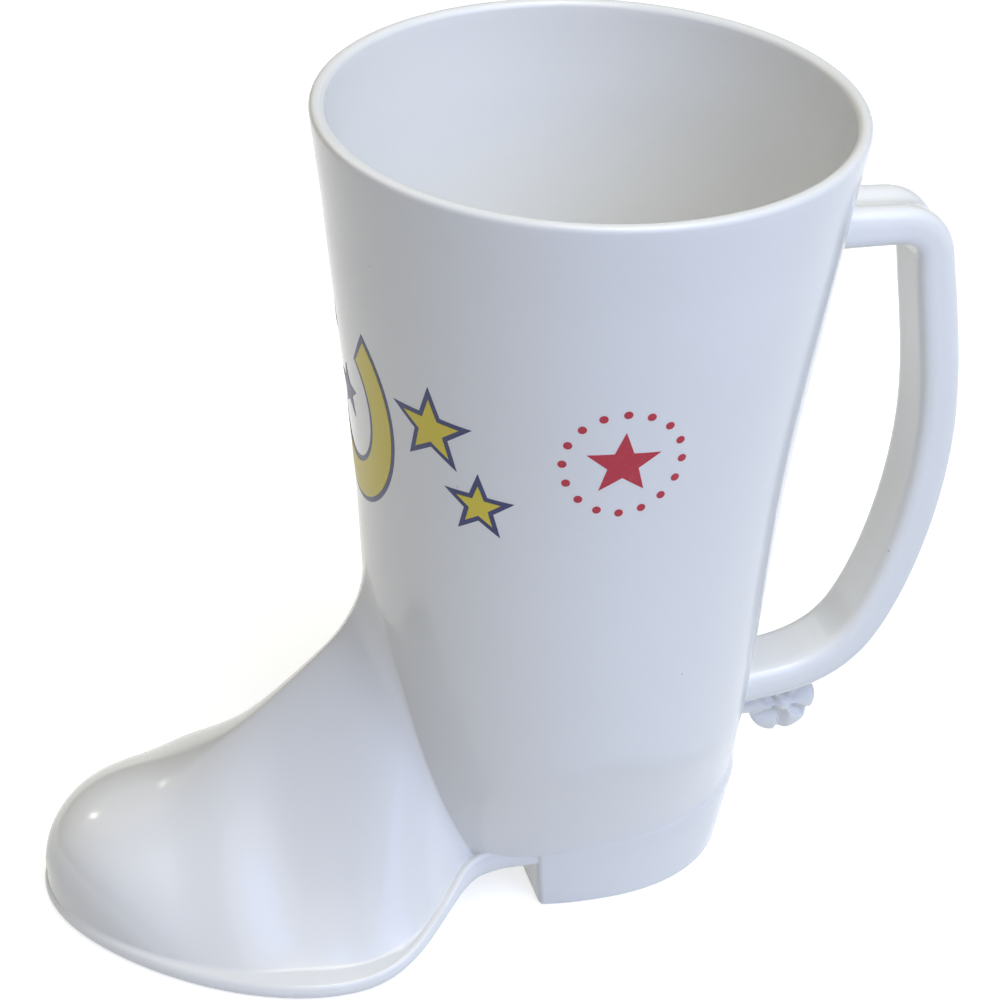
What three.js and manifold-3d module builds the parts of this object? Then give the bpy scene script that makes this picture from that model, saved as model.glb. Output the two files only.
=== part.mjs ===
// Boot-shaped drinking cup with a strap handle and a spur, moulded in white plastic.
// Millimetres, +Z up. The leg's axis is the Z axis, the heel and the sole stand on z = 0,
// the toe points to -X and the handle to +X.
import * as THREE from 'three';
import { LoftGeometry } from 'three/addons/geometries/LoftGeometry.js';
import { mergeVertices } from 'three/addons/utils/BufferGeometryUtils.js';
import Module from 'manifold-3d';

// Leg and cup
const cupHeight = 155;
const rimRadius = 47.75;
const ankleRadius = 35.2;
const flareRadius = 2.8;
const flareStart = 0.45;
const lipFlare = 0.75;
const lipHeight = 17;
const wall = 2.6;
const cupFloor = 3;
const floorFillet = 5;

// Oval that cuts the sides of the round leg flatter from the ankle down to the heel seat
const heelSeat = 13.4;
const ankleHeight = 40.7;
const seatBack = 35.3;
const seatSide = 27.3;
const backOpen = 2.6;
const ovalPower = 2.3;

// Heel
const heelLedge = 0.5;
const heelTaper = 2.9;
const heelWall = 2.8;
const heelEdge = 0.8;
const breastX = -10.2;
const breastLean = 1;

// Sole: outline, thickness and the rise of the shank to the heel
const toeTip = -101;
const ballX = -52;
const ballHalf = 42;
const waistX = -21;
const waistHalf = 25.2;
const toeTaper = 0.24;
const soleThickness = 2.8;
const shankStart = -52;
const shankEnd = -12;
const welt = 2.6;
const toeWelt = 0.4;

// Tongue of the sole that rests in the heel's front wall
const tongueLength = 8;
const tongueHalf = 17;

// Vamp and toe
const vampWall = 2.4;
const toeHeight = 22.4;
const toeBreak = -80;
const instepHeight = 64;
const instepX = -33;

// Handle strap
const gripTop = 124.7;
const gripReach = 67.7;
const gripMiddle = 82.5;
const gripBottom = 32.8;
const strapHalf = 6.9;
const strapSide = 4.4;
const strapThickness = 7.4;
const strapThin = 0.88;
const strapDip = 0.9;
const strapEdge = 2.2;

// Spur rowel under the lower arm
const rowelX = 47.6;
const rowelZ = 20.6;
const rowelRadius = 6.9;
const rowelPetal = 0.4;
const rowelPetals = 6;
const rowelHalf = 2.9;
const rowelEdge = 0.7;
const rowelGroove = 0.8;
const neckHalf = 2;

// Gap left in every welded seam
const seam = 0.3;

const ringSteps = 48;

const wasm = await Module();
wasm.setup();

function smooth(share) {
  const t = Math.min(1, Math.max(0, share));
  return t * t * (3 - 2 * t);
}

function mix(from, to, share) {
  return from + (to - from) * share;
}

function solidOf(geometry) {
  const bare = new THREE.BufferGeometry();
  bare.setAttribute('position', geometry.attributes.position);
  bare.setIndex(geometry.index);
  const merged = mergeVertices(bare, 1e-4);
  const mesh = new wasm.Mesh({
    numProp: 3,
    vertProperties: new Float32Array(merged.attributes.position.array),
    triVerts: new Uint32Array(merged.index.array),
  });
  return new wasm.Manifold(mesh);
}

function geometryOf(solid) {
  const mesh = solid.getMesh();
  const geometry = new THREE.BufferGeometry();
  geometry.setAttribute('position', new THREE.BufferAttribute(mesh.vertProperties, 3));
  geometry.setIndex(new THREE.BufferAttribute(mesh.triVerts, 1));
  geometry.computeVertexNormals();
  return geometry;
}

function loftSolid(sections) {
  return solidOf(new LoftGeometry(sections, { capStart: true, capEnd: true }));
}

function boxSolid(low, high) {
  const size = new THREE.Vector3().subVectors(high, low);
  const middle = new THREE.Vector3().addVectors(high, low).multiplyScalar(0.5);
  const geometry = new THREE.BoxGeometry(size.x, size.y, size.z);
  geometry.translate(middle.x, middle.y, middle.z);
  return solidOf(geometry);
}

// Radius of the round leg: a steady taper, more flare over its upper half and a last little flare at the lip
function legRadius(z) {
  const share = (z - heelSeat) / (cupHeight - heelSeat);
  const taper = (rimRadius - lipFlare - ankleRadius - flareRadius) * share;
  const flare = flareRadius * smooth((share - flareStart) / (1 - flareStart));
  const lip = lipFlare * Math.max(0, (z - cupHeight + lipHeight) / lipHeight) ** 1.3;
  return ankleRadius + taper + flare + lip;
}

function ovalRadius(angle, back, side) {
  const alongX = Math.abs(Math.cos(angle) / back) ** ovalPower;
  const alongY = Math.abs(Math.sin(angle) / side) ** ovalPower;
  return (alongX + alongY) ** (-1 / ovalPower);
}

// Level ring of the leg: round above the ankle, cut by the oval below it
function legRing(z, inset) {
  const level = Math.max(z, heelSeat);
  const share = (level - heelSeat) / (ankleHeight - heelSeat);
  const back = seatBack + backOpen * share ** 4;
  const side = mix(seatSide, legRadius(ankleHeight), share);
  const ring = [];
  for (let i = 0; i < ringSteps; i++) {
    const angle = (i / ringSteps) * 2 * Math.PI;
    const radius = Math.min(legRadius(level), ovalRadius(angle, back, side)) - inset;
    ring.push(new THREE.Vector3(radius * Math.cos(angle), radius * Math.sin(angle), z));
  }
  return ring;
}

function levels(from, to, steps) {
  return Array.from({ length: steps + 1 }, (_, i) => mix(from, to, i / steps));
}

function cupSolid() {
  const roll = wall * 0.4;
  const rollSteps = 3;
  const outside = levels(heelSeat, ankleHeight, 6).map((z) => legRing(z, 0));
  for (const z of levels(ankleHeight, cupHeight - roll, 10).slice(1)) {
    outside.push(legRing(z, 0));
  }
  const floor = heelSeat + cupFloor;
  const inside = [];
  for (let i = 0; i <= 4; i++) {
    const angle = (i / 4) * (Math.PI / 2);
    const inset = wall + floorFillet * (1 - Math.sin(angle));
    inside.push(legRing(floor + floorFillet * (1 - Math.cos(angle)), inset));
  }
  for (const z of levels(floor + floorFillet, ankleHeight, 4).slice(1)) {
    inside.push(legRing(z, wall));
  }
  for (const z of levels(ankleHeight, cupHeight - roll, 8).slice(1)) {
    inside.push(legRing(z, wall));
  }
  for (let i = 1; i <= rollSteps; i++) {
    const angle = (i / rollSteps) * (Math.PI / 2);
    const rise = cupHeight - roll + roll * Math.sin(angle);
    outside.push(legRing(rise, roll * (1 - Math.cos(angle))));
    inside.push(legRing(rise, wall - roll * (1 - Math.cos(angle))));
  }
  inside.push(legRing(cupHeight + 1, wall - roll));
  return loftSolid(outside).subtract(loftSolid(inside));
}

// Space the leg takes from its neighbours, carried down past the heel seat
function legRoom() {
  const low = heelSeat - 3 * soleThickness;
  const rings = [legRing(low, -seam)];
  for (const z of levels(heelSeat, ankleHeight, 6)) {
    rings.push(legRing(z, -seam));
  }
  for (const z of levels(ankleHeight, cupHeight, 10).slice(1)) {
    rings.push(legRing(z, -seam));
  }
  return loftSolid(rings);
}

// Half width of the sole at x, for an outline drawn in at its sides and at its tip:
// round toe, S-curve from the ball to the waist, then along the oval of the seat
function soleHalf(x, sideInset, tipInset) {
  const share = Math.min(1, Math.max(0, (ballX - x) / (ballX - toeTip - tipInset)));
  const toe = (ballHalf - sideInset) * Math.sqrt(1 - share ** 2) * (1 - toeTaper * share ** 1.7);
  const along = Math.min(1, Math.max(0, (x - ballX) / (waistX - ballX)));
  const shank = mix(ballHalf, waistHalf, smooth(along ** 1.6));
  const inSeat = Math.min(1, Math.abs(x / seatBack)) ** ovalPower;
  const seat = seatSide * (1 - inSeat) ** (1 / ovalPower) + heelLedge;
  return x < ballX ? toe : Math.max(shank, seat) - sideInset;
}

// Height of the sole's underside: flat under the toe and ball, then up to the heel
function soleUnder(x) {
  return (heelSeat - soleThickness) * smooth((x - shankStart) / (shankEnd - shankStart));
}

function soleSolid() {
  const end = breastX - breastLean - seam;
  const edge = soleThickness * 0.4;
  const stations = levels(end, ballX, 12);
  for (let i = 1; i <= 14; i++) {
    stations.push(mix(ballX, toeTip + 0.06, Math.sin((i / 14) * (Math.PI / 2))));
  }
  const sections = stations.map((x) => {
    const half = soleHalf(x, 0, 0);
    const under = soleUnder(x);
    const round = Math.min(edge, half * 0.5);
    const side = [];
    for (let i = 0; i <= 4; i++) {
      const angle = (i / 4 - 0.5) * Math.PI;
      side.push([half - round + round * Math.cos(angle), Math.sin(angle)]);
    }
    const near = side.map(([y, up]) => new THREE.Vector3(x, -y, under + soleThickness * (0.5 + up / 2)));
    const far = side.map(([y, up]) => new THREE.Vector3(x, y, under + soleThickness * (0.5 + up / 2)));
    return near.concat(far.reverse());
  });
  const top = soleUnder(end) + soleThickness - seam;
  const tongueLow = new THREE.Vector3(end - tongueLength / 2, -tongueHalf, top - soleThickness * 0.7);
  const tongueHigh = new THREE.Vector3(end + tongueLength, tongueHalf, top);
  return loftSolid(sections).add(boxSolid(tongueLow, tongueHigh));
}

// Height of the vamp's crest from the toe to the instep, as a curve in the XZ plane
function crestPoints(steps) {
  const path = new THREE.Path();
  const start = toeTip + toeWelt;
  path.moveTo(start, soleThickness);
  path.bezierCurveTo(start, toeHeight * 0.76, toeBreak - 11, toeHeight * 0.87, toeBreak, toeHeight);
  const run = instepX - toeBreak;
  const rise = instepHeight - toeHeight;
  path.bezierCurveTo(
    toeBreak + run * 0.24,
    toeHeight + rise * 0.08,
    toeBreak + run * 0.72,
    toeHeight + rise * 0.59,
    instepX,
    instepHeight,
  );
  const inside = shankEnd - instepX;
  const steep = 1.4 * inside;
  path.quadraticCurveTo(instepX + inside / 2, instepHeight + steep / 2, shankEnd, instepHeight + steep);
  return path.getPoints(steps).slice(1);
}

// Share of the crest's height at share t of the half width: a dome at the toe,
// a ridge with hollow flanks along the instep
function flank(x, t) {
  const along = (x - toeTip) / (instepX - toeTip);
  const power = mix(2.3, 1.3, smooth((along - 0.13) / 0.53));
  const hollow = 0.46 + 0.89 * smooth((along - 0.08) / 0.45) - 0.15 * smooth((along - 0.57) / 0.43);
  return (1 - Math.abs(t) ** power) ** hollow;
}

function vampSections(thickness, drop) {
  const archSteps = 18;
  const tip = toeTip + toeWelt + thickness;
  const shrink = (shankEnd - tip) / (shankEnd - toeTip - toeWelt);
  return crestPoints(10).reverse().map((crest) => {
    const x = shankEnd - (shankEnd - crest.x) * shrink;
    const half = soleHalf(x, welt + thickness, toeWelt + thickness);
    const base = soleUnder(x) + soleThickness + seam;
    const height = Math.max(crest.y - thickness - base, thickness / 4 + seam);
    const points = [];
    for (let i = 0; i <= archSteps; i++) {
      const t = Math.sin((i / archSteps - 0.5) * Math.PI * 0.999);
      points.push(new THREE.Vector3(x, t * half, base + height * flank(x, t)));
    }
    points.push(new THREE.Vector3(x, half, base - drop));
    points.push(new THREE.Vector3(x, -half, base - drop));
    return points;
  });
}

function vampSolid(room) {
  const outside = loftSolid(vampSections(0, 0.01));
  const inside = loftSolid(vampSections(vampWall, soleThickness));
  return outside.subtract(inside).subtract(room);
}

function ovalRing(z, back, side) {
  const ring = [];
  for (let i = 0; i < ringSteps; i++) {
    const angle = (i / ringSteps) * 2 * Math.PI;
    const radius = ovalRadius(angle, back, side);
    ring.push(new THREE.Vector3(radius * Math.cos(angle), radius * Math.sin(angle), z));
  }
  return ring;
}

// Block behind the heel's leaning front face, set back by inset
function behindBreast(inset) {
  const shape = new THREE.Shape();
  shape.moveTo(breastX + inset, 0);
  shape.lineTo(2 * seatBack, 0);
  shape.lineTo(2 * seatBack, -2 * heelSeat);
  shape.lineTo(breastX - 2 * breastLean + inset, -2 * heelSeat);
  const geometry = new THREE.ExtrudeGeometry(shape, { depth: 4 * seatSide, bevelEnabled: false });
  geometry.translate(0, 0, -2 * seatSide);
  geometry.rotateX(-Math.PI / 2);
  return solidOf(geometry);
}

function heelSolid() {
  const back = seatBack + heelLedge;
  const side = seatSide + heelLedge;
  const outside = loftSolid([
    ovalRing(0, back - heelTaper - heelEdge, side - heelEdge),
    ovalRing(heelEdge, back - heelTaper, side),
    ovalRing(heelSeat, back, side),
  ]);
  const inside = loftSolid([
    ovalRing(heelWall, back - heelTaper - heelWall, side - heelWall),
    ovalRing(heelSeat + 1, back - heelWall, side - heelWall),
  ]);
  const slotLow = new THREE.Vector3(
    breastX - 2 * breastLean,
    -tongueHalf - seam,
    heelSeat - soleThickness * 0.7 - 2 * seam,
  );
  const slotHigh = new THREE.Vector3(0, tongueHalf + seam, heelSeat + 1);
  const shell = outside.intersect(behindBreast(0)).subtract(inside.intersect(behindBreast(heelWall)));
  return shell.subtract(boxSolid(slotLow, slotHigh));
}

// Inner line of the strap in the XZ plane, from inside the leg's wall at the top to the same below
function strapPath() {
  const path = new THREE.Path();
  const corner = gripReach - 5;
  path.moveTo(rimRadius - 2 * wall - 2, gripTop + 0.4);
  path.lineTo(corner - 4.2, gripTop);
  path.quadraticCurveTo(corner - 0.2, gripTop, corner + 0.2, gripTop - 4.4);
  path.bezierCurveTo(corner + 2, gripTop - 17, gripReach, gripMiddle + 13, gripReach, gripMiddle);
  path.bezierCurveTo(
    gripReach,
    gripMiddle - 17,
    gripReach - 5.2,
    gripBottom + 15.2,
    gripReach - 11.4,
    gripBottom + 5.6,
  );
  path.quadraticCurveTo(gripReach - 14.8, gripBottom + 0.8, gripReach - 24, gripBottom);
  path.lineTo(ankleRadius - wall, gripBottom - 0.9);
  return path;
}

// Section of the strap: flat inside, two rounded lobes with a shallow valley outside
function strapSection(grow) {
  const half = strapHalf + grow;
  const low = -grow;
  const high = strapThickness + grow;
  const lobe = half * 0.62;
  const shape = new THREE.Shape();
  shape.moveTo(-half + strapEdge, low);
  shape.lineTo(half - strapEdge, low);
  shape.quadraticCurveTo(half, low, half, low + strapEdge);
  shape.lineTo(half, strapSide);
  shape.bezierCurveTo(half, strapSide + 1.9, lobe + 1.8, high, lobe, high);
  shape.bezierCurveTo(lobe * 0.5, high, lobe * 0.45, high - strapDip, 0, high - strapDip);
  shape.bezierCurveTo(-lobe * 0.45, high - strapDip, -lobe * 0.5, high, -lobe, high);
  shape.bezierCurveTo(-lobe - 1.8, high, -half, strapSide + 1.9, -half, strapSide);
  shape.lineTo(-half, low + strapEdge);
  shape.quadraticCurveTo(-half, low, -half + strapEdge, low);
  return shape.getPoints(3).slice(0, -1);
}

function strapSolid(grow) {
  const section = strapSection(grow);
  const line = strapPath().getPoints(7);
  const sections = line.map((point, i) => {
    const before = line[Math.max(0, i - 1)];
    const after = line[Math.min(line.length - 1, i + 1)];
    const along = new THREE.Vector2().subVectors(after, before).normalize();
    const low = smooth((gripMiddle - point.y) / (gripMiddle - gripBottom));
    const depth = mix(1, strapThin, low);
    return section.map(({ x: across, y: out }) => {
      return new THREE.Vector3(point.x - along.y * out * depth, across, point.y + along.x * out * depth);
    });
  });
  return loftSolid(sections);
}

function rowelSolid(room) {
  const shape = new THREE.Shape();
  const steps = rowelPetals * 6;
  const radius = rowelRadius - rowelEdge;
  for (let i = 0; i < steps; i++) {
    const angle = (i / steps) * 2 * Math.PI;
    const reach = radius + rowelPetal * Math.cos(rowelPetals * angle);
    const x = reach * Math.cos(angle);
    const y = reach * Math.sin(angle);
    if (i === 0) {
      shape.moveTo(x, y);
    } else {
      shape.lineTo(x, y);
    }
  }
  const flat = 2 * (rowelHalf - rowelEdge);
  const disc = new THREE.ExtrudeGeometry(shape, {
    depth: flat,
    bevelEnabled: true,
    bevelThickness: rowelEdge,
    bevelSize: rowelEdge,
    bevelSegments: 2,
  });
  disc.translate(0, 0, -flat / 2);
  let rowel = solidOf(disc);
  for (let i = 0; i < rowelPetals / 2; i++) {
    const angle = ((i + 0.5) / rowelPetals) * 2 * Math.PI;
    for (const face of [-rowelHalf, rowelHalf]) {
      const groove = new THREE.BoxGeometry(4 * rowelRadius, rowelGroove, rowelGroove);
      groove.rotateX(Math.PI / 4);
      groove.rotateZ(angle);
      groove.translate(0, 0, face);
      rowel = rowel.subtract(solidOf(groove));
    }
  }
  rowel = rowel.rotate([90, 0, 0]).translate([rowelX, 0, rowelZ]);
  const neckLow = new THREE.Vector3(ankleRadius - 2 * wall, -neckHalf, rowelZ - neckHalf);
  const neckHigh = new THREE.Vector3(rowelX - rowelRadius * 0.6, neckHalf, rowelZ + neckHalf);
  return rowel.add(boxSolid(neckLow, neckHigh)).subtract(room).subtract(strapSolid(seam));
}

const room = legRoom();
const plastic = { roughness: 0.28, metalness: 0 };
const boot = new THREE.Group();

function addPiece(name, solid, colour) {
  const material = new THREE.MeshStandardMaterial({ color: colour, ...plastic });
  const mesh = new THREE.Mesh(geometryOf(solid), material);
  mesh.name = name;
  boot.add(mesh);
}

addPiece('leg_cup', cupSolid(), '#e9ebf0');
addPiece('vamp_shell', vampSolid(room), '#e7e9ec');
addPiece('sole_plate', soleSolid(), '#e5e7ea');
addPiece('heel_block', heelSolid(), '#e6e8ec');
addPiece('handle_strap', strapSolid(0).subtract(room), '#e6e9f0');
addPiece('spur_rowel', rowelSolid(room), '#e2e4ea');

export default boot;
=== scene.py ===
import bmesh
import bpy
import numpy as np
from mathutils import Matrix


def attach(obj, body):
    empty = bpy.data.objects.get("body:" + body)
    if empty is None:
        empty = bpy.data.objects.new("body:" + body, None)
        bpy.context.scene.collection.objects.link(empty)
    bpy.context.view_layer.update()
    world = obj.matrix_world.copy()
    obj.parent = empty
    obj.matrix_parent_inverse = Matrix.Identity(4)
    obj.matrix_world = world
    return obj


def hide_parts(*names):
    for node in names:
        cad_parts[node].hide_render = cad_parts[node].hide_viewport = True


# Boot-shaped drinking cup, moulded in white plastic. Sizes are millimetres, the leg's axis is Z,
# the toe points to -X and the handle to +X.
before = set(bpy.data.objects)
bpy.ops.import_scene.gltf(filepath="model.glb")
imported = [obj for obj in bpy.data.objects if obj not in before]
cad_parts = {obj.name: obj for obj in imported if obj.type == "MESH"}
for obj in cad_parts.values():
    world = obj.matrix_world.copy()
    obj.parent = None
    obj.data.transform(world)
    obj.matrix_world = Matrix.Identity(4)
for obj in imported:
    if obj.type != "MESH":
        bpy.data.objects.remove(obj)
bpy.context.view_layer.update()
mm = 0.001
print("frame loaded with", len(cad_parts), "nodes")


def linear(hexColour):
    # sRGB hex to linear red, green, blue and alpha
    share = np.array([int(hexColour[i:i + 2], 16) for i in (1, 3, 5)]) / 255
    bent = np.where(share <= 0.04045, share / 12.92, ((share + 0.055) / 1.055) ** 2.4)
    return (*bent.tolist(), 1.0)


def addNode(tree, kind, links=(), inputs=(), **settings):
    # one node with its settings, its input values and the sockets that feed it
    node = tree.nodes.new(kind)
    for key, value in settings.items():
        setattr(node, key, value)
    for key, value in dict(inputs).items():
        node.inputs[key].default_value = value
    for key, source in dict(links).items():
        tree.links.new(source, node.inputs[key])
    return node


def newMaterial(name):
    # an empty node material and its tree
    material = bpy.data.materials.new(name)
    material.use_nodes = True
    material.node_tree.nodes.clear()
    return material, material.node_tree


# A colour mix has several sockets of one name, so these four go by number
mixShare, mixFirst, mixSecond, mixColour = 0, 6, 7, 2

# Injection-moulded polypropylene: near white and a little warm, a soft wide gloss from the mould's
# polished faces, a faint orange peel, and rubbed patches and specks from handling
plastic = {
    "white": "#f9f8f4", "shade": "#f4f3ee", "speck": "#a8a294",
    "ior": 1.49, "roughLow": 0.13, "roughHigh": 0.18,
    "cloud": 42.0, "rub": 14.0, "peel": 1.6, "speckPitch": 16.0,  # widths of the patterns
    "rubLow": 0.3, "rubHigh": 0.7,  # stretch of the noise that runs from glossy to rubbed
    "peelDepth": 0.004, "peelStrength": 0.5,
    "speckSize": 0.02, "speckShare": 0.5,  # share of the pitch, and how dark a speck gets
}


def mouldedPlastic(name):
    material, tree = newMaterial(name)
    place = addNode(tree, "ShaderNodeTexCoord").outputs["Object"]
    cloud = addNode(tree, "ShaderNodeTexNoise", {"Vector": place},
                    {"Scale": 1 / (plastic["cloud"] * mm), "Detail": 2.0, "Roughness": 0.4})
    tone = addNode(tree, "ShaderNodeMix", {mixShare: cloud.outputs["Fac"]},
                   {mixFirst: linear(plastic["shade"]), mixSecond: linear(plastic["white"])},
                   data_type="RGBA")
    cells = addNode(tree, "ShaderNodeTexVoronoi", {"Vector": place},
                    {"Scale": 1 / (plastic["speckPitch"] * mm), "Randomness": 1.0})
    speck = addNode(tree, "ShaderNodeMapRange", {"Value": cells.outputs["Distance"]},
                    {"From Min": plastic["speckSize"] / 2, "From Max": plastic["speckSize"],
                     "To Min": plastic["speckShare"], "To Max": 0.0})
    colour = addNode(tree, "ShaderNodeMix",
                     {mixShare: speck.outputs["Result"], mixFirst: tone.outputs[mixColour]},
                     {mixSecond: linear(plastic["speck"])}, data_type="RGBA")
    rub = addNode(tree, "ShaderNodeTexNoise", {"Vector": place},
                  {"Scale": 1 / (plastic["rub"] * mm), "Detail": 4.0, "Roughness": 0.6})
    rough = addNode(tree, "ShaderNodeMapRange", {"Value": rub.outputs["Fac"]},
                    {"From Min": plastic["rubLow"], "From Max": plastic["rubHigh"],
                     "To Min": plastic["roughLow"], "To Max": plastic["roughHigh"]})
    peel = addNode(tree, "ShaderNodeTexNoise", {"Vector": place},
                   {"Scale": 1 / (plastic["peel"] * mm), "Detail": 1.0})
    bump = addNode(tree, "ShaderNodeBump", {"Height": peel.outputs["Fac"]},
                   {"Strength": plastic["peelStrength"], "Distance": plastic["peelDepth"] * mm})
    shader = addNode(tree, "ShaderNodeBsdfPrincipled",
                     {"Base Color": colour.outputs[mixColour], "Roughness": rough.outputs["Result"],
                      "Normal": bump.outputs["Normal"]}, {"IOR": plastic["ior"]})
    addNode(tree, "ShaderNodeOutputMaterial", {"Surface": shader.outputs[0]})
    return material


# Pad-printed ink: thin and even, a little flatter than the plastic, with faint pinholes
ink = {
    "grain": 0.8, "grainLow": 0.55, "grainHigh": 0.75, "thinShare": 0.5, "rough": 0.36, "ior": 1.48,
    "red": ("#c4203a", "#cf4456"), "yellow": ("#e8d23a", "#ecdc6e"), "navy": ("#2a3166", "#454c80"),
}


def padPrintInk(name, tones):
    material, tree = newMaterial(name)
    place = addNode(tree, "ShaderNodeTexCoord").outputs["Object"]
    grain = addNode(tree, "ShaderNodeTexNoise", {"Vector": place},
                    {"Scale": 1 / (ink["grain"] * mm), "Detail": 3.0})
    thin = addNode(tree, "ShaderNodeMapRange", {"Value": grain.outputs["Fac"]},
                   {"From Min": ink["grainLow"], "From Max": ink["grainHigh"],
                    "To Min": 0.0, "To Max": ink["thinShare"]})
    colour = addNode(tree, "ShaderNodeMix", {mixShare: thin.outputs["Result"]},
                     {mixFirst: linear(tones[0]), mixSecond: linear(tones[1])}, data_type="RGBA")
    shader = addNode(tree, "ShaderNodeBsdfPrincipled", {"Base Color": colour.outputs[mixColour]},
                     {"Roughness": ink["rough"], "IOR": ink["ior"]})
    addNode(tree, "ShaderNodeOutputMaterial", {"Surface": shader.outputs[0]})
    return material


whitePlastic = mouldedPlastic("mouldedWhitePolypropylene")
redInk = padPrintInk("padPrintedRedInk", ink["red"])
yellowInk = padPrintInk("padPrintedYellowInk", ink["yellow"])
navyInk = padPrintInk("padPrintedNavyInk", ink["navy"])
print("materials ready")


def smooth(share):
    # S-curve from 0 to 1
    t = np.clip(share, 0, 1)
    return t * t * (3 - 2 * t)


def mix(low, high, share):
    return low + (high - low) * share


def softMin(a, b, blend):
    # the smaller of two lengths, rounded off over the blend where they cross
    return np.minimum(a, b) - np.maximum(blend - np.abs(a - b), 0) ** 2 / (4 * blend)


def bezier(control, steps):
    # repeated blending of neighbouring control points, for any number of them
    t = np.linspace(0, 1, steps)[:, None]
    rungs = [np.array([point], float) for point in control]
    while len(rungs) > 1:
        rungs = [mix(a, b, t) for a, b in zip(rungs, rungs[1:])]
    return rungs[0]


def hermite(start, startWay, end, endWay, steps):
    # cubic blend that leaves start along startWay and arrives at end along endWay
    t = np.linspace(0, 1, steps).reshape(-1, *[1] * start.ndim)
    length = np.linalg.norm(end - start, axis=-1, keepdims=True)
    return ((2 * t**3 - 3 * t**2 + 1) * start + (t**3 - 2 * t**2 + t) * startWay * length
            + (3 * t**2 - 2 * t**3) * end + (t**3 - t**2) * endWay * length)


def unit(vectors):
    return vectors / np.linalg.norm(vectors, axis=-1, keepdims=True)


def roundAngles(steps):
    # evenly spaced angles once round, the last one short of the first
    return np.linspace(0, 2 * np.pi, steps, endpoint=False)


def aroundAxis(reach, angle, height):
    # points from their distance to the Z axis, their angle about it and their height
    return np.stack([reach * np.cos(angle), reach * np.sin(angle), height], -1)


def mirrored(grid):
    # the same grid on the other side of the boot
    return grid * np.array([1, -1, 1])


def gridFaces(rows, columns, wrap, first):
    # four corners of each cell; wrap joins the last column to the first
    i = np.arange(rows - 1)[:, None]
    j = np.arange(columns if wrap else columns - 1)[None, :]
    k = (j + 1) % columns
    corners = (i * columns + j, i * columns + k, (i + 1) * columns + k, (i + 1) * columns + j)
    return np.stack(np.broadcast_arrays(*corners), -1).reshape(-1, 4) + first


finish = {"merge": 0.002, "sharpAngle": 50}


def makePiece(name, grids, material, nodes=(), wrap=False):
    # each grid holds points[row, column]; shared edges and poles merge to single points
    points = np.concatenate([grid.reshape(-1, 3) for grid in grids]) * mm
    firsts = np.cumsum([0] + [grid.shape[0] * grid.shape[1] for grid in grids])
    faces = [gridFaces(*grid.shape[:2], wrap, first) for grid, first in zip(grids, firsts)]
    mesh = bpy.data.meshes.new(name)
    mesh.from_pydata(points.tolist(), [], np.concatenate(faces).tolist())
    work = bmesh.new()
    work.from_mesh(mesh)
    bmesh.ops.remove_doubles(work, verts=work.verts, dist=finish["merge"] * mm)
    bmesh.ops.holes_fill(work, edges=work.edges)
    bmesh.ops.recalc_face_normals(work, faces=work.faces)
    work.to_mesh(mesh)
    work.free()
    mesh.polygons.foreach_set("use_smooth", np.ones(len(mesh.polygons), bool))
    mesh.set_sharp_from_angle(angle=np.radians(finish["sharpAngle"]))
    mesh.materials.append(material)
    piece = bpy.data.objects.new(name, mesh)
    bpy.context.scene.collection.objects.link(piece)
    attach(piece, "root")
    if nodes:
        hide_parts(*nodes)
    print(name, len(mesh.polygons), "faces")


# Leg: a flared round cup whose sides are cut flatter below the ankle, down to an oval seat on the heel
leg = {
    "height": 155, "rimRadius": 47.75, "ankleRadius": 35.2, "flare": 2.8, "flareStart": 0.45,
    "lipFlare": 0.75, "lipStart": 138, "lipPower": 1.3, "wall": 2.6, "rimRoll": 1.15,
    "floor": 16.4, "floorFillet": 5, "seat": 13.4, "seatLift": 1.9, "seatBack": 35.3, "seatSide": 27.3,
    "ankle": 40.7, "ankleBlend": 0.7, "backOpen": 2.6, "backPower": 4, "ovalPower": 2.3,
    "ledge": 0.7, "ledgeFront": -0.55, "ledgeRise": 2.2,
    "baseEdge": 0.98, "floorEdge": 0.9,  # shares of the way out where the two flat discs end
    "around": 240, "discRows": 6, "ledgeRows": 12, "counterRows": 60, "wallRows": 70, "rollRows": 10,
    "insideRows": 90,
}


def ovalReach(angle, back, side):
    # superellipse: |cos/back|^p + |sin/side|^p = reach^-p
    power = leg["ovalPower"]
    total = np.abs(np.cos(angle) / back) ** power + np.abs(np.sin(angle) / side) ** power
    return total ** (-1 / power)


def counterShare(level):
    # 0 at the seat, 1 at the ankle
    return (level - leg["seat"]) / (leg["ankle"] - leg["seat"])


def ledgeOut(angle):
    # the heel stands out a little at the back and runs flush with the leg towards its front
    front = leg["ledgeFront"]
    return leg["ledge"] * smooth((np.cos(angle) - front) / (-2 * front))


def seatTilt(angle, level):
    # the seat rises to the back; the lift fades out up to the ankle
    return leg["seatLift"] * np.cos(angle) * np.clip(1 - counterShare(level), 0, 1)


def roundReach(level):
    # straight taper, an S-curve of flare over its upper half, and a last little flare at the lip
    share = (level - leg["seat"]) / (leg["height"] - leg["seat"])
    taper = (leg["rimRadius"] - leg["lipFlare"] - leg["ankleRadius"] - leg["flare"]) * share
    flare = leg["flare"] * smooth((share - leg["flareStart"]) / (1 - leg["flareStart"]))
    lipShare = np.clip((level - leg["lipStart"]) / (leg["height"] - leg["lipStart"]), 0, 1)
    return leg["ankleRadius"] + taper + flare + leg["lipFlare"] * lipShare ** leg["lipPower"]


def counterReach(angle, level):
    # the round leg cut by an oval that narrows down to the seat
    share = counterShare(level)
    back = leg["seatBack"] + leg["backOpen"] * np.maximum(share, 0) ** leg["backPower"]
    side = mix(leg["seatSide"], roundReach(leg["ankle"]), share)
    return softMin(roundReach(level), ovalReach(angle, back, side), leg["ankleBlend"])


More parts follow.
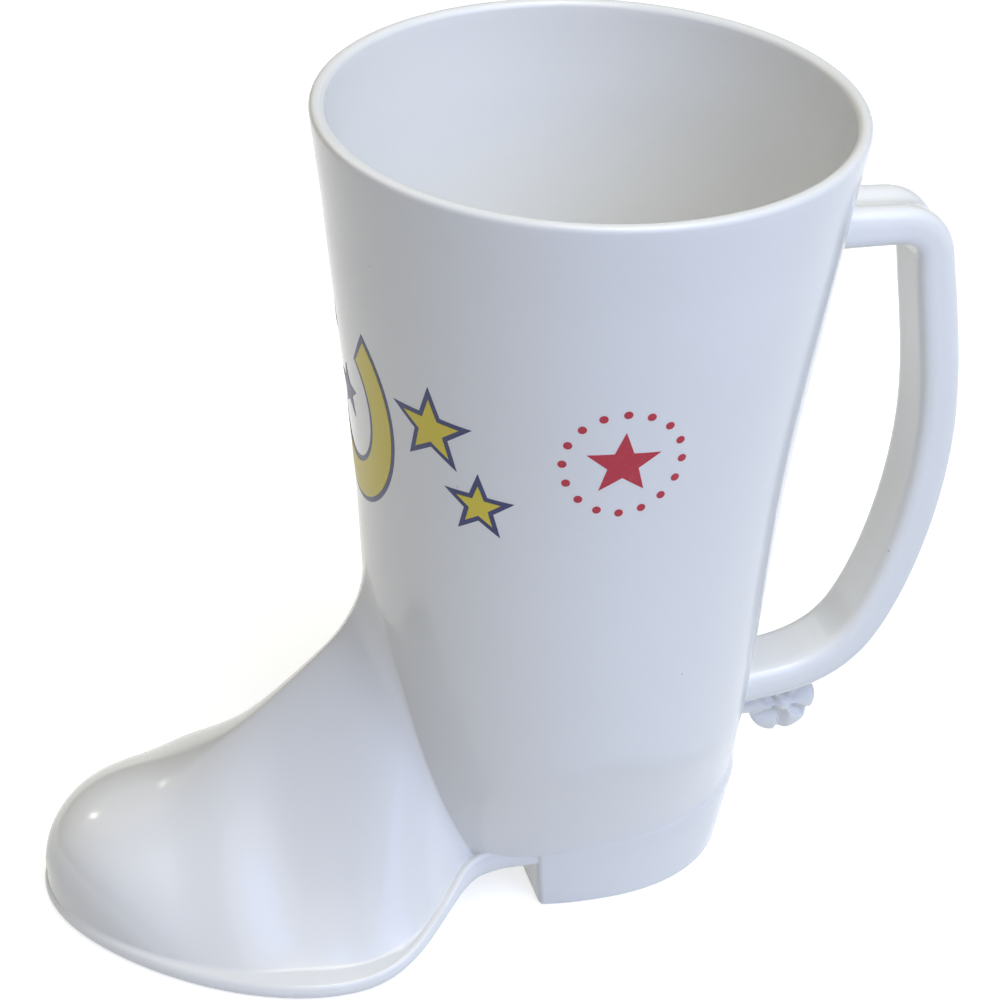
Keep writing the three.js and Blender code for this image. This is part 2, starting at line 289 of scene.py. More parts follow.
def legReach(angle, z):
    # reach at a true height: the seat's tilt is taken out first
    slope = 1 - leg["seatLift"] * np.cos(angle) / (leg["ankle"] - leg["seat"])
    level = np.where(z < leg["ankle"], leg["ankle"] - (leg["ankle"] - z) / slope, z)
    return counterReach(angle, np.maximum(level, leg["seat"]))


def legCupGrid():
    # one profile carried round the axis: base, ledge, outside, rolled rim, inside, floor; each row has
    # a level, an inset from the outside and a share of the way out from the axis
    roll, wall, fillet, disc = leg["rimRoll"], leg["wall"], leg["floorFillet"], leg["discRows"]
    ledgeTop, rollStart = leg["seat"] + leg["ledgeRise"], leg["height"] - roll
    rising = np.linspace(0, np.pi / 2, leg["rollRows"])
    falling = rising[::-1]
    outside = np.concatenate([np.linspace(leg["seat"], ledgeTop, leg["ledgeRows"])[:-1],
                              np.linspace(ledgeTop, leg["ankle"], leg["counterRows"])[:-1],
                              np.linspace(leg["ankle"], rollStart, leg["wallRows"])[:-1]])
    inside = np.linspace(rollStart, leg["floor"] + fillet, leg["insideRows"])[1:-1]
    level = np.concatenate([
        np.full(disc, leg["seat"]), outside, rollStart + roll * np.sin(rising),
        rollStart + roll * np.sin(falling), inside,
        leg["floor"] + fillet * (1 - np.cos(falling)), np.full(disc, leg["floor"])])
    inset = np.concatenate([
        np.zeros(disc + len(outside)), roll * (1 - np.cos(rising)), wall - roll * (1 - np.cos(falling)),
        np.full(len(inside), wall), wall + fillet * (1 - np.sin(falling)), np.full(disc, wall + fillet)])
    share = np.ones(len(level))
    share[:disc] = np.linspace(0, leg["baseEdge"], disc)
    share[-disc:] = np.linspace(leg["floorEdge"], 0, disc)
    below = np.arange(len(level)) < disc + len(outside)  # base and outside follow the ledge and the tilt
    ledgeShare = below * np.clip(1 - (level - leg["seat"]) / leg["ledgeRise"], 0, 1) ** 2

    angle = roundAngles(leg["around"])
    level, share = level[:, None], share[:, None]
    reach = counterReach(angle, level) - inset[:, None] + ledgeShare[:, None] * ledgeOut(angle)
    height = level + below[:, None] * seatTilt(angle, level) * share
    return aroundAxis(reach * share, angle, height)


makePiece("leg_cup_wall", [legCupGrid()], whitePlastic, ["leg_cup"], wrap=True)


# Sole: its plan, the rise of the shank and the rounded lip round the foot
sole = {
    "tip": -101.3, "ball": -52, "ballHalf": 42.0, "toeTaper": 0.24, "taperPower": 1.7,
    "waist": -21, "waistHalf": 25.2, "waistBlend": 1.2, "waistPower": 1.6,
    "rear": -10.4, "tuck": 0.3, "tuckStart": -14, "tuckRun": 3,  # narrower where it runs into the heel
    "thickness": 2.8, "shankStart": -52, "shankEnd": -12, "seatShare": 0.5,
    "bead": 1.4, "crown": 0.3, "crownRise": 1.6, "crownLead": 10, "crownRun": 8,
    "topBehind": (4.6, 1.6, 0.6, 0.3), "topDrop": (0.8, 0.8, 0.2, 0.05),  # under the vamp, behind the bead
    "underBehind": (1.6, 4.6), "along": 150, "beadRows": 26, "acrossRows": 9,
}


def soleHalf(x, sideInset=0.0, tipInset=0.0):
    # toe: a quarter round narrowed towards its tip; shank: an S-curve from the ball to the waist, then
    # along the oval of the seat
    share = np.clip((sole["ball"] - x) / (sole["ball"] - sole["tip"] - tipInset), 0, 1)
    toe = (sole["ballHalf"] - sideInset) * np.sqrt(1 - share**2)
    toe = toe * (1 - sole["toeTaper"] * share ** sole["taperPower"])
    along = np.clip((x - sole["ball"]) / (sole["waist"] - sole["ball"]), 0, 1)
    shank = mix(sole["ballHalf"], sole["waistHalf"], smooth(along ** sole["waistPower"]))
    inSeat = np.clip(np.abs(x) / leg["seatBack"], 0, 1) ** leg["ovalPower"]
    tuck = sole["tuck"] * smooth((x - sole["tuckStart"]) / sole["tuckRun"])
    seat = leg["seatSide"] * (1 - inSeat) ** (1 / leg["ovalPower"]) - tuck
    return np.where(x < sole["ball"], toe, -softMin(-shank, -seat, sole["waistBlend"]) - sideInset)


def soleUnder(x):
    # flat under the toe, then an S-curve up the shank to the seat
    rise = leg["seat"] - sole["seatShare"] * leg["seatLift"] - sole["thickness"]
    return rise * smooth((x - sole["shankStart"]) / (sole["shankEnd"] - sole["shankStart"]))


def crownHeight(x):
    # crown of the lip over its top edge; it climbs into the leg behind the waist
    start = sole["waist"] - sole["crownLead"]
    return sole["crown"] + sole["crownRise"] * smooth((x - start) / sole["crownRun"])


def planLine(sideInset, tipInset, rear):
    # outline from the shank to the tip of the toe, closer together towards the tip
    half = sole["along"] // 2
    reach = sole["ball"] - sole["tip"] - tipInset
    x = np.concatenate([np.linspace(rear, sole["ball"], half, endpoint=False),
                        sole["ball"] - reach * np.sin(np.linspace(0, np.pi / 2, half))])
    return x, soleHalf(x, sideInset, tipInset)


# Vamp: toe and instep as a thin shell that stands on the sole and runs into the leg
vamp = {
    "welt": 2.6, "toeWelt": 0.5, "skin": 1.6, "rearLead": 1,
    "toeHeight": 22.4, "toeBulge": 2.2, "toeFull": 0.79, "toeBreak": -80, "breakSlope": 0.34, "breakRun": 11,
    "instep": -33, "instepHeight": 64, "slope": 1.4, "inLeg": 20,
    "sweepStart": 11.3, "sweepRun": 0.72, "sweepRise": 0.59,
    # flank: powers of its section and how hollow it is, by the share of the way from tip to instep
    "toePower": 2.3, "instepPower": 1.3, "powerStart": 0.13, "powerRun": 0.53,
    "toeHollow": 0.46, "flankHollow": 0.89, "flankStart": 0.08, "flankRun": 0.45,
    "upperFill": 0.15, "upperStart": 0.57, "upperRun": 0.43,
    "shoulder": 0.22, "shoulderAt": 0.47, "shoulderRun": 0.1,
    # fillets: on the leg at the sides and the front, and on the lip
    "creaseSide": 2.2, "creaseFront": 8.0, "creaseShare": 0.3, "creaseLift": 1.3, "creaseSink": 0.03,
    "frontStart": 0.86, "weltFillet": 1.2, "toeFillet": 0.8, "weltShare": 0.4,
    "landing": 0.3, "tipLanding": 0.4, "landingPower": 4, "lipSink": 0.06,
    "shortest": 0.5, "probe": 0.05, "edgeProbe": 0.02, "creaseTries": 60,
    "crestRows": 120, "filletRows": 14, "searchRows": 400, "searchPower": 2.4,
    "flankRows": 90, "flankPower": 2.0,
}


def crestLine():
    # toe rises steeply and rolls over, then sweeps up the instep and on into the leg at a steady slope
    start, knee = sole["tip"] + vamp["toeWelt"], vamp["toeBreak"]
    top, climb = vamp["toeHeight"], vamp["breakSlope"]
    run, rise = vamp["instep"] - knee, vamp["instepHeight"] - top
    toe = bezier([(start, sole["thickness"]), (start - vamp["toeBulge"], top * vamp["toeFull"]),
                  (knee - vamp["breakRun"], top - vamp["breakRun"] * climb), (knee, top)], vamp["crestRows"])
    instep = bezier([(knee, top), (knee + vamp["sweepStart"], top + vamp["sweepStart"] * climb),
                     (knee + run * vamp["sweepRun"], top + rise * vamp["sweepRise"]),
                     (vamp["instep"], vamp["instepHeight"])], vamp["crestRows"])
    end = sole["shankEnd"] + vamp["inLeg"]
    endHeight = vamp["instepHeight"] + vamp["slope"] * (end - vamp["instep"])
    return np.concatenate([toe, instep[1:], [(end, endHeight)]])


crest = crestLine()


def vampHeight(x, y):
    # crest height times a flank that is a dome at the toe and a ridge with hollow sides at the instep
    base = soleUnder(x) + sole["thickness"]
    height = np.maximum(np.interp(x, crest[:, 0], crest[:, 1]) - base, 0)
    half = np.maximum(soleHalf(x, vamp["welt"], vamp["toeWelt"]), 1e-6)  # the tip has no width
    share = np.clip(np.abs(y) / half, 0, 1)
    along = (x - sole["tip"]) / (vamp["instep"] - sole["tip"])
    ridged = smooth((along - vamp["powerStart"]) / vamp["powerRun"])
    power = mix(vamp["toePower"], vamp["instepPower"], ridged)
    hollow = (vamp["toeHollow"]
              + vamp["flankHollow"] * smooth((along - vamp["flankStart"]) / vamp["flankRun"])
              - vamp["upperFill"] * smooth((along - vamp["upperStart"]) / vamp["upperRun"])
              - vamp["shoulder"] * np.exp(-((along - vamp["shoulderAt"]) / vamp["shoulderRun"]) ** 2))
    return base + height * (1 - share**power) ** hollow


def vampGrid():
    # rays from the leg's axis to the outline of the foot, each falling from a fillet on the leg
    # over the vamp to a fillet on the lip; a profile's point is its reach along the ray and its height
    x, y = planLine(vamp["welt"], vamp["toeWelt"], sole["shankEnd"] - vamp["rearLead"])
    angle, outer = np.arctan2(y, x), np.hypot(x, y)

    def height(reach):
        return vampHeight(reach * np.cos(angle), reach * np.sin(angle))

    # where each ray comes out of the leg, closing in on the height there
    crease = legReach(angle, np.full_like(angle, leg["ankle"]))
    for _ in range(vamp["creaseTries"]):
        crease = np.minimum(legReach(angle, height(crease)), outer)
    kept = outer - crease > vamp["shortest"]
    angle, outer, crease = angle[kept], outer[kept], crease[kept]
    front = smooth((-np.cos(angle) - vamp["frontStart"]) / (1 - vamp["frontStart"]))

    # crease fillet, from the leg down to the vamp
    probe = vamp["probe"]
    fillet = mix(vamp["creaseSide"], vamp["creaseFront"], front)
    fillet = np.minimum(fillet, vamp["creaseShare"] * (outer - crease))
    legTop = height(crease) + fillet * mix(1.0, vamp["creaseLift"], front)
    legPoint = np.stack([legReach(angle, legTop) - vamp["creaseSink"], legTop], -1)
    legWay = unit(np.stack([legReach(angle, legTop - probe) - legReach(angle, legTop),
                            np.full_like(angle, -probe)], -1))
    inner = crease + fillet
    vampPoint = np.stack([inner, height(inner)], -1)
    vampWay = unit(np.stack([np.full_like(angle, probe), height(inner + probe) - height(inner)], -1))
    upper = hermite(legPoint, legWay, vampPoint, vampWay, vamp["filletRows"])

    # flank, down to where the welt fillet starts, with its rows closer together towards the lip
    share = np.linspace(0, 1, vamp["searchRows"])[:, None]
    search = mix(inner, outer, 1 - (1 - share) ** vamp["searchPower"])
    above = height(search) - soleUnder(search * np.cos(angle)) - sole["thickness"]
    bend = mix(vamp["weltFillet"], vamp["toeFillet"], front)
    bend = np.minimum(bend, vamp["weltShare"] * above.max(0))
    last = len(search) - 1 - np.argmax(above[::-1] >= bend, axis=0)
    stop = np.take_along_axis(search, last[None, :], 0)[0]
    share = np.linspace(0, 1, vamp["flankRows"])[1:, None]
    rows = mix(inner, stop, 1 - (1 - share) ** vamp["flankPower"])
    flank = np.stack([rows, height(rows)], -1)

    # welt fillet, from the vamp out onto the crown of the lip
    before = stop - vamp["edgeProbe"]
    flankWay = unit(flank[-1] - np.stack([before, height(before)], -1))
    bead = sole["bead"]

    def lipReach(inset):
        lipX, lipY = planLine(inset, inset, sole["rear"])
        return np.interp(angle, np.arctan2(lipY, lipX), np.hypot(lipX, lipY))

    sideLanding, tipShare = bead - vamp["landing"], front ** vamp["landingPower"]
    inset = mix(sideLanding, vamp["tipLanding"], tipShare)
    reach = mix(lipReach(sideLanding), lipReach(vamp["tipLanding"]), tipShare)
    along = reach * np.cos(angle)
    raised = sole["thickness"] - bead + crownHeight(along)
    turn = np.arccos(1 - inset / bead)
    lip = np.stack([reach, soleUnder(along) + bead + raised * np.sin(turn) - vamp["lipSink"]], -1)
    lipWay = unit(np.stack([bead * np.sin(turn), -raised * np.cos(turn)], -1))
    lower = hermite(flank[-1], flankWay, lip, lipWay, vamp["filletRows"])

    # the inner face is the outer one moved in and down by the skin
    outside = np.concatenate([upper, flank, lower[1:]])
    line = np.concatenate([outside, outside[::-1] - vamp["skin"], outside[:1]])
    return aroundAxis(line[..., 0], angle, line[..., 1])


vampHalf = vampGrid()
makePiece("vamp_skin", [vampHalf[:, ::-1], mirrored(vampHalf)], whitePlastic, ["vamp_shell"])


def soleGrid():
    # lip profile carried along the outline: top under the vamp, rounded bead, underside to the middle
    x, y = planLine(0, 0, sole["rear"])
    way = unit(np.stack([np.gradient(x), np.gradient(y)], -1))
    out = np.stack([way[:, 1], -way[:, 0]], -1)
    out[-1] = (-1, 0)  # straight ahead at the tip
    bead, thickness = sole["bead"], sole["thickness"]
    topBehind, underBehind = np.array(sole["topBehind"]), np.array(sole["underBehind"])
    turn = np.linspace(np.pi / 2, -np.pi / 2, sole["beadRows"])
    raised = np.where(turn > 0, thickness - bead, bead)
    inward = np.concatenate([bead + topBehind, bead * (1 - np.cos(turn)), bead + underBehind])
    topLift = thickness - np.array(sole["topDrop"])
    lift = np.concatenate([topLift, bead + raised * np.sin(turn), 0 * underBehind])
    crowned = np.concatenate([np.ones(len(topBehind)), np.maximum(np.sin(turn), 0), 0 * underBehind])
    edge = np.stack([x, y], -1)[None] - inward[:, None, None] * out[None]
    edge[..., 1] = np.maximum(edge[..., 1], 0)
    height = soleUnder(edge[..., 0]) + lift[:, None] + crowned[:, None] * crownHeight(edge[..., 0])
    ring = np.concatenate([edge, height[..., None]], -1)
    toMiddle = np.array([1, 0, 1])
    share = np.linspace(0, 1, sole["acrossRows"])[:-1, None, None]
    top = mix(ring[0] * toMiddle, ring[0], share)
    under = mix(ring[-1] * toMiddle, ring[-1], share[::-1])
    return np.concatenate([top, ring, under])


soleSide = soleGrid()
makePiece("sole_welt", [soleSide, mirrored(soleSide)], whitePlastic, ["sole_plate"])


# Heel: an oval block with a leaning flat front and rounded edges, a little wider than the seat
heel = {
    "taper": 2.9, "breast": -10.2, "lean": 1.0, "corner": 2.0, "edge": 0.8, "topEdge": 0.06,
    "baseEdge": 0.95, "seatEdge": 0.9,  # shares of the way out where the two flat discs end
    "around": 320, "baseRows": 6, "edgeRows": 8, "wallRows": 22, "seatRows": 5,
}


def heelGrid():
    # each level is the smaller of the oval's reach and the front face's, rounded where they cross
    angle = roundAngles(heel["around"])
    quarter = np.linspace(0, np.pi / 2, heel["edgeRows"])
    edge, topEdge, top = heel["edge"], heel["topEdge"], leg["seat"]
    base, wall, seat = heel["baseRows"], heel["wallRows"], heel["seatRows"]
    level = np.concatenate([
        np.zeros(base), edge * (1 - np.cos(quarter)), np.linspace(edge, top - topEdge, wall + 2)[1:-1],
        top - topEdge + topEdge * np.sin(quarter), np.full(seat, top)])
    inset = np.concatenate([
        np.full(base, edge), edge * (1 - np.sin(quarter)), np.zeros(wall),
        topEdge * (1 - np.cos(quarter)), np.full(seat, topEdge)])
    share = np.ones(len(level))
    share[:base] = np.linspace(0, heel["baseEdge"], base)
    share[-seat:] = np.linspace(heel["seatEdge"], 0, seat)
    level, inset, share = level[:, None], inset[:, None], share[:, None]
    up = level / top
    step = counterReach(angle, top) - ovalReach(angle, leg["seatBack"], leg["seatSide"]) + ledgeOut(angle)
    oval = ovalReach(angle, leg["seatBack"] - heel["taper"] * (1 - up), leg["seatSide"]) + step
    facing = np.maximum(-np.cos(angle), 1e-3)  # far away where a ray doesn't meet the front face
    front = -(heel["breast"] - heel["lean"] * up) / facing
    reach = (softMin(oval, front, heel["corner"]) - inset) * share
    return aroundAxis(reach, angle, level + leg["seatLift"] * np.cos(angle) * up * share)


makePiece("heel_lift", [heelGrid()], whitePlastic, ["heel_block"], wrap=True)


# Handle: a strap, flat inside, with two rounded lobes along its outer face
strap = {
    "top": 124.3, "reach": 67.3, "middle": 82.5, "bottom": 32.8,
    "inWall": 1.3, "rootFillet": 1.5, "rootSpread": 0.6, "topRise": 0.3, "bottomDrop": 0.7, "bottomOut": 0.4,
    # control points of the inner face, from the reach and from the top, the middle or the bottom
    "corner": [(-9.2, 0), (-5.2, 0), (-4.8, -4.4), (-3, -17)], "grip": [(0, 13), (0, 0), (0, -17)],
    "bend": [(-4.6, 15.6), (-9.8, 7.6), (-14.1, 1.0), (-25, 0)],
    "half": 6.9, "side": 4.4, "thickness": 7.7, "edge": 3.0, "dip": 0.9,
    "lobe": 0.62, "lobeRise": 1.9, "lobeRound": 1.8, "valleyOut": 0.5, "valleyIn": 0.45,  # lobes
    "thin": 0.95, "cornerCut": 0.07, "cornerSpan": 9, "cornerIn": 5,
}


def strapLine():
    # top arm, tight corner, long grip, sweep back to the ankle, along the strap's inner face
    reach, top, bottom, inWall = strap["reach"], strap["top"], strap["bottom"], strap["inWall"]
    anchors = ((strap["corner"], top), (strap["grip"], strap["middle"]), (strap["bend"], bottom))
    corner, grip, bend = [[(reach + x, level + z) for x, z in points] for points, level in anchors]
    start = (leg["rimRadius"] - leg["wall"] - inWall - leg["lipFlare"], top + strap["topRise"])
    end = (leg["ankleRadius"] - inWall + strap["bottomOut"], bottom - strap["bottomDrop"])
    spans = [([start, corner[0]], 30), (corner[:3], 24), (corner[2:] + grip[:2], 60),
             (grip[1:] + bend[:2], 60), (bend[1:], 40), ([bend[-1], end], 24)]  # points and rows of each
    return np.concatenate([[start]] + [bezier(points, rows)[1:] for points, rows in spans])


def strapSection():
    # half of the section from the inner face's middle round to the valley, then mirrored
    half, high, edge, side = strap["half"], strap["thickness"], strap["edge"], strap["side"]
    lobe, low = half * strap["lobe"], high - strap["dip"]
    lobeSide, lobeTop = (half, side + strap["lobeRise"]), (lobe + strap["lobeRound"], high)
    valleySide, valleyLow = (lobe * strap["valleyOut"], high), (lobe * strap["valleyIn"], low)
    spans = [([(0, 0), (half - edge, 0)], 8),
             ([(half - edge, 0), (half, 0), (half, edge)], 12),
             ([(half, edge), (half, side)], 4),
             ([(half, side), lobeSide, lobeTop, (lobe, high)], 16),
             ([(lobe, high), valleySide, valleyLow, (0, low)], 14)]  # points and rows of each
    right = np.concatenate([[(0, 0)]] + [bezier(points, rows)[1:] for points, rows in spans])
    return np.concatenate([right, (right * np.array([-1, 1]))[-2:0:-1]])


def strapDepth(line):
    # share of the full thickness: less round the top corner and down the sweep to the ankle
    down = smooth((strap["middle"] - line[:, 1]) / (strap["middle"] - strap["bottom"]))
    away = np.hypot(line[:, 0] - strap["reach"] + strap["cornerIn"], line[:, 1] - strap["top"])
    cut = strap["cornerCut"] * np.exp(-(away / strap["cornerSpan"]) ** 2)
    return mix(1, strap["thin"], down) * (1 - cut)


def strapGrid():
    # the section carried along the line, square to it, and spread into a fillet where it meets the leg
    line, section = strapLine(), strapSection()
    way = unit(np.gradient(line, axis=0))
    out = np.stack([-way[:, 1], way[:, 0]], -1)

    def carried(across, away):
        return np.stack([line[:, None, 0] + out[:, None, 0] * away, np.broadcast_to(across, away.shape),
                         line[:, None, 1] + out[:, None, 1] * away], -1)

    shape = section[None] * np.stack([np.ones(len(line)), strapDepth(line)], -1)[:, None]
    x, y, z = np.moveaxis(carried(shape[..., 0], shape[..., 1]), -1, 0)
    distance = np.hypot(x, y) - legReach(np.arctan2(y, x), z)
    fillet = strap["rootFillet"]
    spread = np.clip(1 - distance / fillet, 0, 1) ** 2 * fillet * strap["rootSpread"]
    edgeWay = unit(np.gradient(np.concatenate([section[-1:], section, section[:1]]), axis=0)[1:-1])
    outward = np.stack([edgeWay[:, 1], -edgeWay[:, 0]], -1)
    shape = shape + spread[..., None] * outward
    return carried(shape[..., 0], shape[..., 1])


makePiece("handle_grip", [strapGrid()], whitePlastic, ["handle_strap"], wrap=True)


# Spur: a small rosette of domed petals on a neck under the handle's lower arm
rowel = {
    "x": 47.6, "z": 20.6, "radius": 7.3, "half": 2.9,
    "petals": 6, "notch": 0.4, "petalPower": 0.6, "domePower": 0.55,
    "groove": 2.1, "grooveWidth": 0.95, "grooveStart": 1.0, "grooveRun": 1.4,
    "boss": 1.1, "bossFall": 0.6, "bossLift": 0.35, "around": 288, "rows": 61,
    "neck": 2.2, "neckFlare": 1.4, "neckRun": 0.5, "neckInWall": 0.6, "neckEnd": 2.5,
    "neckRows": 20, "neckAround": 48,
}


def rowelGrid():
    # distance out from the middle and angle: petals bulge the outline, valleys run between them,
    # and each face falls off towards the rim as a quarter round
    petals = rowel["petals"]
    angle = roundAngles(rowel["around"])[None, :]
    side = np.linspace(0, np.pi, rowel["rows"])[:, None]
    face = np.sign(np.cos(side))
    swing = np.abs(np.cos(petals * angle / 2))
    reach = (rowel["radius"] - rowel["notch"] * (1 - swing ** rowel["petalPower"])) * np.sin(side)
    between = np.arccos(np.clip(np.cos(petals * (angle + np.pi / petals)), -1, 1)) / petals
    valley = np.exp(-((between * reach) / rowel["grooveWidth"]) ** 2)
    valley = valley * smooth((reach - rowel["grooveStart"]) / rowel["grooveRun"])
    bossEdge = rowel["boss"] * rowel["bossFall"]
    boss = rowel["bossLift"] * (1 - smooth((reach - bossEdge) / bossEdge))
    dome = rowel["half"] * np.abs(np.cos(side)) ** rowel["domePower"]
    thick = face * (dome * (1 - valley * rowel["groove"] / rowel["half"]) + boss)
    return np.stack([rowel["x"] + reach * np.cos(angle), thick, rowel["z"] + reach * np.sin(angle)], -1)


def neckGrid():
    # a round bar from inside the leg's wall to inside the rosette, wider at the leg
    along = np.linspace(0, 1, rowel["neckRows"])[:, None]
    angle = roundAngles(rowel["neckAround"])[None, :]
    reach = rowel["neck"] + rowel["neckFlare"] * (1 - smooth(along / rowel["neckRun"]))
    start = leg["seatBack"] - leg["wall"] * rowel["neckInWall"]
    x = mix(start, rowel["x"] - rowel["neckEnd"], along) + 0 * angle
    return np.stack([x, reach * np.cos(angle), rowel["z"] + reach * np.sin(angle)], -1)


makePiece("spur_rosette", [rowelGrid(), neckGrid()], whitePlastic, ["spur_rowel"], wrap=True)


# Prints: stars, dots and a horseshoe in thin ink on the leg; angles are degrees about the leg, and stars
# have their distance to each side of the middle, their height above it and their radius
sidePrint = {"angle": 263, "z": 109, "star": 6.6, "ring": 10.2, "dots": 16, "dot": 0.75}
frontPrint = {
    "angle": 180, "z": 104, "outline": 0.9,
    "stars": [(27, 6, 6.0), (36, -7, 4.4)], "middleStar": (0, 0.5, 5.2),
    "shoe": 15, "shoeWidth": 6.2, "shoeTurn": 2.45, "shoeNarrow": 0.94, "shoeTall": 1.12,
}
film = {
    "depth": 0.05, "starPoints": 5, "starDent": 0.42, "starSteps": 240, "dotSteps": 40, "shoeSteps": 160,
}


def onLeg(across, up, lift, centre):
    # wraps flat millimetres round the leg, lift away from its outside
    middle = np.radians(centre["angle"])
    z = centre["z"] + up
    angle = middle + across / legReach(middle, centre["z"])
    return aroundAxis(legReach(angle, z) + lift, angle, z)


def thereAndBack(low, high, steps):
    # from low to high on the film's top, then back underneath
    return np.concatenate([np.linspace(low, high, steps), np.linspace(high, low, steps)])


def inkSpot(outline, across, up, lift, centre, steps=10):
    # closed film: from its middle out to the outline on top, and back underneath
    share = thereAndBack(0, 1, steps)[:, None]
    level = np.repeat([lift, -film["depth"]], steps)[:, None]
    return onLeg(across + outline[:, 0] * share, up + outline[:, 1] * share, level, centre)


def starLine(radius, grow=0.0):
    # straight edges between outer points and inner corners, moved out by grow
    turn = roundAngles(film["starSteps"])
    sector = np.pi / film["starPoints"]
    local = np.abs((turn + sector) % (2 * sector) - sector)
    tip = np.array([radius, 0.0])
    dent = radius * film["starDent"] * np.array([np.cos(sector), np.sin(sector)])
    normal = unit(np.array([dent[1] - tip[1], tip[0] - dent[0]]))
    reach = (normal @ tip + grow) / (normal[0] * np.cos(local) + normal[1] * np.sin(local))
    upright = turn + np.pi / 2
    return np.stack([reach * np.cos(upright), reach * np.sin(upright)], -1)


def dotLine(radius):
    turn = roundAngles(film["dotSteps"])
    return radius * np.stack([np.cos(turn), np.sin(turn)], -1)


def shoeGrid(grow, lift, steps=8):
    # horseshoe: a band that follows an egg-shaped arc, open at the top and moved out by grow
    size, half = frontPrint["shoe"], frontPrint["shoeWidth"] / 2 + grow
    end = frontPrint["shoeTurn"] + grow / size
    turn = -np.pi / 2 + np.linspace(-end, end, film["shoeSteps"])[:, None]
    reach = size + thereAndBack(-half, half, steps)[None, :]
    level = np.repeat([lift, -film["depth"]], steps)[None, :]
    across = reach * np.cos(turn) * frontPrint["shoeNarrow"]
    up = reach * np.sin(turn) * frontPrint["shoeTall"]
    return onLeg(across, up, level, frontPrint)


inkTop, ring = film["depth"], sidePrint["ring"]
sideInk = [inkSpot(starLine(sidePrint["star"]), 0, 0, inkTop, sidePrint)]
for turn in roundAngles(sidePrint["dots"]):
    dot = dotLine(sidePrint["dot"])
    sideInk.append(inkSpot(dot, ring * np.cos(turn), ring * np.sin(turn), inkTop, sidePrint))
makePiece("side_print", sideInk, redInk, wrap=True)

navyFilms, yellowFilms = [shoeGrid(frontPrint["outline"], inkTop)], [shoeGrid(0, 2 * inkTop)]
for across, up, size in frontPrint["stars"]:
    for side in (-1, 1):
        navyStar, yellowStar = starLine(size, frontPrint["outline"]), starLine(size)
        navyFilms.append(inkSpot(navyStar, side * across, up, inkTop, frontPrint))
        yellowFilms.append(inkSpot(yellowStar, side * across, up, 2 * inkTop, frontPrint))
across, up, size = frontPrint["middleStar"]
navyFilms.append(inkSpot(starLine(size), across, up, inkTop, frontPrint))
makePiece("front_print_navy", navyFilms, navyInk, wrap=True)
makePiece("front_print_yellow", yellowFilms, yellowInk, wrap=True)


# Stage, in metres: pale floor that stays white to the camera and keeps the shadow, soft lamps, camera
stage = {
    "floor": "#d6d6d4", "floorGlow": 0.7, "floorRough": 0.9, "floorHalf": 3, "floorDrop": 0.0001,
    "worldColour": "#eef0f6", "worldLight": 0.13, "lampDistance": 1.3, "aim": (-0.02, 0, 0.08),
    "lamps": [  # name, degrees round from the front, degrees up, side, watts, colour
        ("windowRight", 46, 60, 1.2, 6.0, "#f2fcf4"),
        ("windowFront", 8, 54, 1.2, 4.0, "#f4f4ff"),
        ("sky", 25, 38, 1.0, 6.4, "#8aaeff"),
        ("ceiling", 35, 78, 0.6, 4.6, "#fff5d8"),
        ("roomLeft", 315, 60, 1.0, 0.3, "#ffe080"),
        ("roomBack", 212, 44, 0.8, 1.3, "#fffcf2"),
        ("bulb", 214, 32, 0.04, 0.34, "#fff6e6"),
    ],
    "white": (1, 1, 1, 1),
}
view = {  # the photograph's camera: place in millimetres, its three directions, lens and sensor
    "place": (-127.60, -370.57, 326.18), "right": (0.961137, -0.274031, 0.033529),
    "up": (0.121230, 0.528042, 0.840521), "forward": (0.248033, 0.803790, -0.540741),
    "lens": 90, "sensor": 36, "nearest": 0.01, "furthest": 20,
}


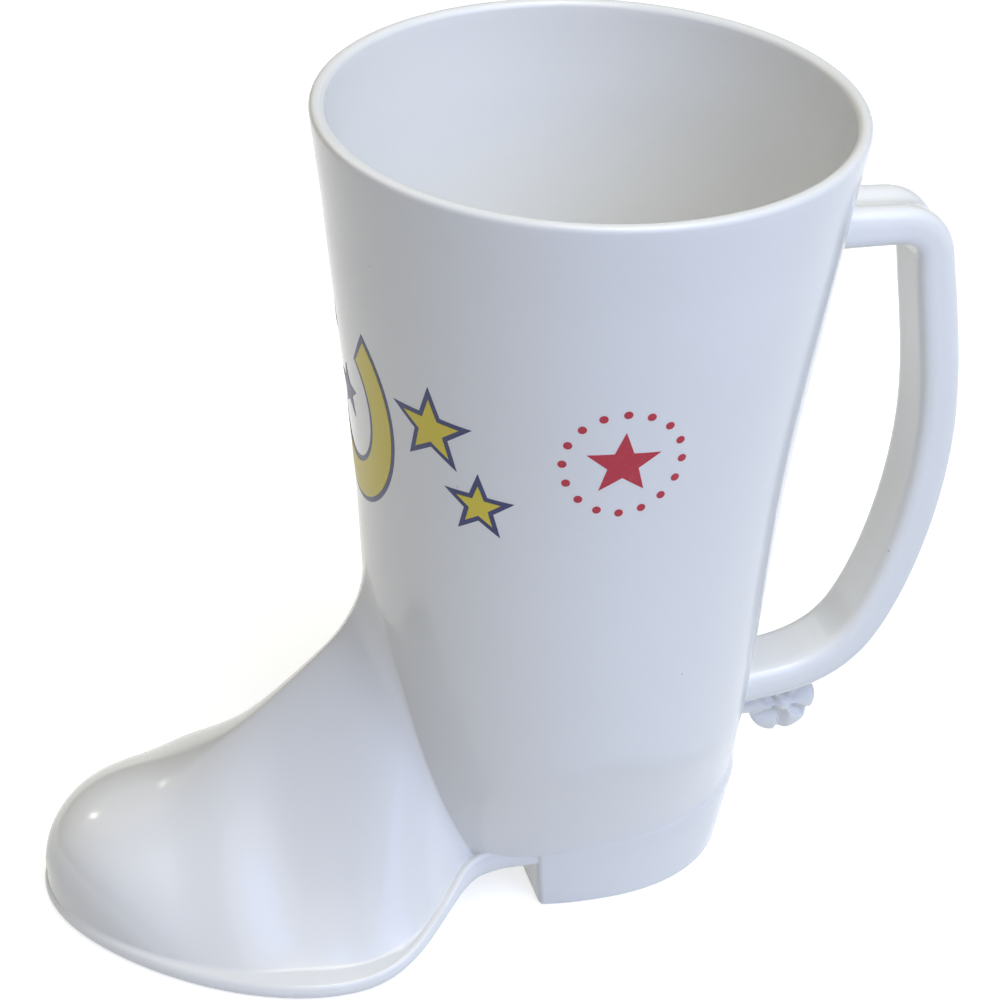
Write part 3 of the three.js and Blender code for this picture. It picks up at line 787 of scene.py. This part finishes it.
def buildFloor():
    material, tree = newMaterial("paleFloorCard")
    path = addNode(tree, "ShaderNodeLightPath")
    seen = addNode(tree, "ShaderNodeMath",
                   {0: path.outputs["Is Camera Ray"], 1: path.outputs["Is Glossy Ray"]},
                   operation="MAXIMUM")
    glow = addNode(tree, "ShaderNodeMath", {0: seen.outputs[0]}, {1: stage["floorGlow"]},
                   operation="MULTIPLY")
    shader = addNode(tree, "ShaderNodeBsdfPrincipled", {"Emission Strength": glow.outputs[0]},
                     {"Base Color": linear(stage["floor"]), "Roughness": stage["floorRough"],
                      "Emission Color": stage["white"]})
    addNode(tree, "ShaderNodeOutputMaterial", {"Surface": shader.outputs[0]})
    side = np.linspace(-stage["floorHalf"], stage["floorHalf"], 3)
    x, y = np.meshgrid(side, side, indexing="ij")
    mesh = bpy.data.meshes.new("floor")
    mesh.from_pydata(np.stack([x, y, 0 * x - stage["floorDrop"]], -1).reshape(-1, 3).tolist(), [],
                     gridFaces(len(side), len(side), False, 0)[:, ::-1].tolist())
    mesh.materials.append(material)
    floor = bpy.data.objects.new("floor", mesh)
    bpy.context.scene.collection.objects.link(floor)


def buildWorld():
    # white to the camera, a faint even light to everything else
    world = bpy.data.worlds.new("studio")
    bpy.context.scene.world = world
    world.use_nodes = True
    tree = world.node_tree
    tree.nodes.clear()
    path = addNode(tree, "ShaderNodeLightPath")
    light = addNode(tree, "ShaderNodeBackground", {},
                    {"Color": linear(stage["worldColour"]), "Strength": stage["worldLight"]})
    white = addNode(tree, "ShaderNodeBackground", {}, {"Color": stage["white"], "Strength": 1.0})
    both = addNode(tree, "ShaderNodeMixShader",
                   {0: path.outputs["Is Camera Ray"], 1: light.outputs[0], 2: white.outputs[0]})
    addNode(tree, "ShaderNodeOutputWorld", {"Surface": both.outputs[0]})


def placed(right, up, back, place):
    # a turn and a place as one matrix
    turn = np.eye(4)
    turn[:3] = np.stack([right, up, back, place], -1)
    return Matrix(turn.tolist())


def addLamp(name, around, rise, size, power, colour):
    # a square lamp on a sphere round the aim, facing it
    lamp = bpy.data.lights.new(name, "AREA")
    lamp.size, lamp.energy, lamp.color = size, power, linear(colour)[:3]
    holder = bpy.data.objects.new(name, lamp)
    a, e = np.radians(around), np.radians(rise)
    back = np.array((np.sin(a) * np.cos(e), -np.cos(a) * np.cos(e), np.sin(e)))
    side = unit(np.cross((0, 0, 1), back))
    place = np.array(stage["aim"]) + back * stage["lampDistance"]
    holder.matrix_world = placed(side, np.cross(back, side), back, place)
    bpy.context.scene.collection.objects.link(holder)


def buildCamera():
    data = bpy.data.cameras.new("camera")
    data.lens, data.sensor_width = view["lens"], view["sensor"]
    data.clip_start, data.clip_end = view["nearest"], view["furthest"]
    camera = bpy.data.objects.new("camera", data)
    back, place = -np.array(view["forward"]), np.array(view["place"]) * mm
    camera.matrix_world = placed(view["right"], view["up"], back, place)
    bpy.context.scene.collection.objects.link(camera)
    bpy.context.scene.camera = camera


buildFloor()
buildWorld()
for lampRow in stage["lamps"]:
    addLamp(*lampRow)
buildCamera()
bpy.context.scene.view_settings.view_transform = "Standard"
print("stage, lamps and camera ready")
